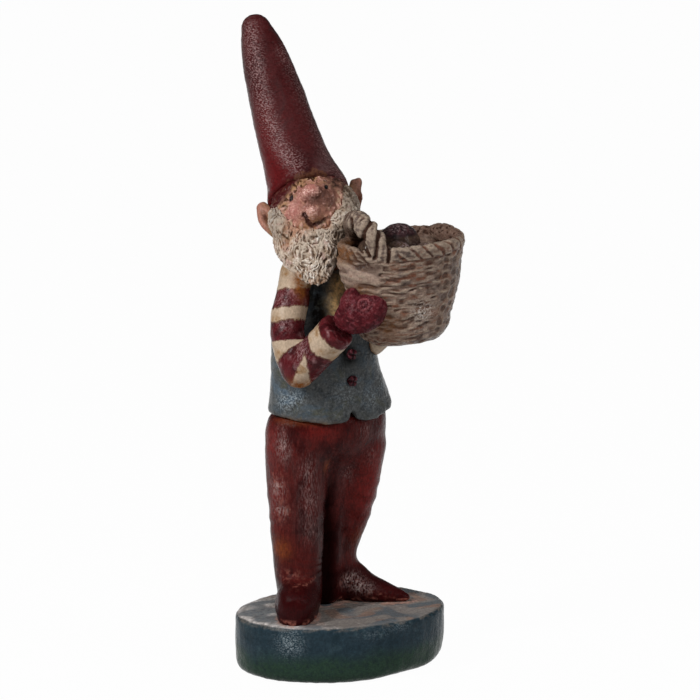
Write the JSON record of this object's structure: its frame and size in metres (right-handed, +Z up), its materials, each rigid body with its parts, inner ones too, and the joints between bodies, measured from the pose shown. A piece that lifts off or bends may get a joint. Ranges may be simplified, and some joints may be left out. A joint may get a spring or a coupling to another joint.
{
  "type": "nisse figure",
  "caption": "Painted clay nisse in a tall red hat, carrying a woven basket of fruit and standing on an oval plinth; a folk ornament for a shelf.",
  "frame": {"origin": "middle of the plinth's flat underside", "axes": "+Z up, X along the plinth's long way towards the figure's left hand, the figure faces -Y"},
  "size_m": [0.134, 0.1396, 0.4003],
  "materials": {
    "red_paint": "satin dark red paint, rubbed on the high places",
    "maroon_paint": "satin maroon paint",
    "blue_grey_paint": "satin blue-grey paint, patchy",
    "striped_paint": "maroon and cream stripes, worn",
    "cream_paint": "satin cream paint",
    "beard_white_paint": "matt off-white paint, stained in the hollows",
    "skin_paint": "satin pinkish skin paint",
    "wicker_paint": "grey-brown paint, darker in the weave",
    "plum_paint": "dark plum paint",
    "plinth_paint": "dark green paint on the side, beige dabs on top",
    "iron_wire": "bare iron wire"
  },
  "bodies": {
    "root": {"right_boot": "red_paint", "left_boot": "red_paint", "trouser_seat": "red_paint", "right_trouser_leg": "red_paint", "left_trouser_leg": "red_paint", "hat": "red_paint", "button_1": "maroon_paint", "button_2": "maroon_paint", "button_3": "maroon_paint", "right_mitten": "maroon_paint", "left_mitten": "maroon_paint", "waistcoat": "blue_grey_paint", "right_sleeve": "striped_paint", "left_sleeve": "striped_paint", "torso": "cream_paint", "hair": "beard_white_paint", "beard": "beard_white_paint", "head": "skin_paint", "nose": "skin_paint", "right_ear": "skin_paint", "left_ear": "skin_paint", "basket_tub": "wicker_paint", "basket_rim": "wicker_paint", "basket_handle_right": "wicker_paint", "basket_handle_left": "wicker_paint", "basket_bed": "wicker_paint", "fruit_1": "plum_paint", "fruit_2": "plum_paint", "fruit_3": "plum_paint", "fruit_4": "plum_paint", "plinth": "plinth_paint", "right_leg_rod": "iron_wire", "left_leg_rod": "iron_wire"}
  },
  "joints": []
}
